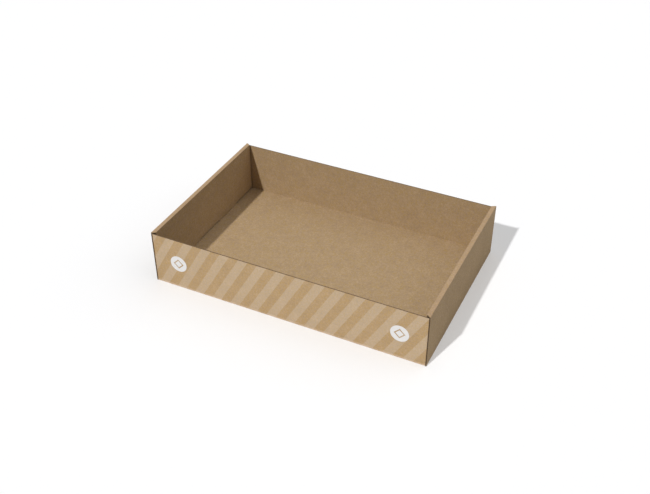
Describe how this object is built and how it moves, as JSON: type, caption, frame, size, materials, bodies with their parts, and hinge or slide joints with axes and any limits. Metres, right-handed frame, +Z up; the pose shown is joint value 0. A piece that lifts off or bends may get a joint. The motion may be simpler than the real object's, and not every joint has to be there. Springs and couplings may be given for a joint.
{
  "type": "cardboard tray box",
  "caption": "Open cardboard tray folded from one sheet of fine corrugated board, with rolled-over double side walls. It holds, shows and ships small goods.",
  "frame": {"origin": "centre of the footprint, on the ground", "axes": "+X along the length, from one double wall to the other; +Y from the striped front panel to the back panel; +Z up"},
  "size_m": [0.3, 0.1964, 0.061],
  "materials": {
    "kraft_board": "matt brown kraft, front panel printed with slanted paler stripes"
  },
  "bodies": {
    "root": {"tray": "kraft_board"}
  },
  "joints": []
}
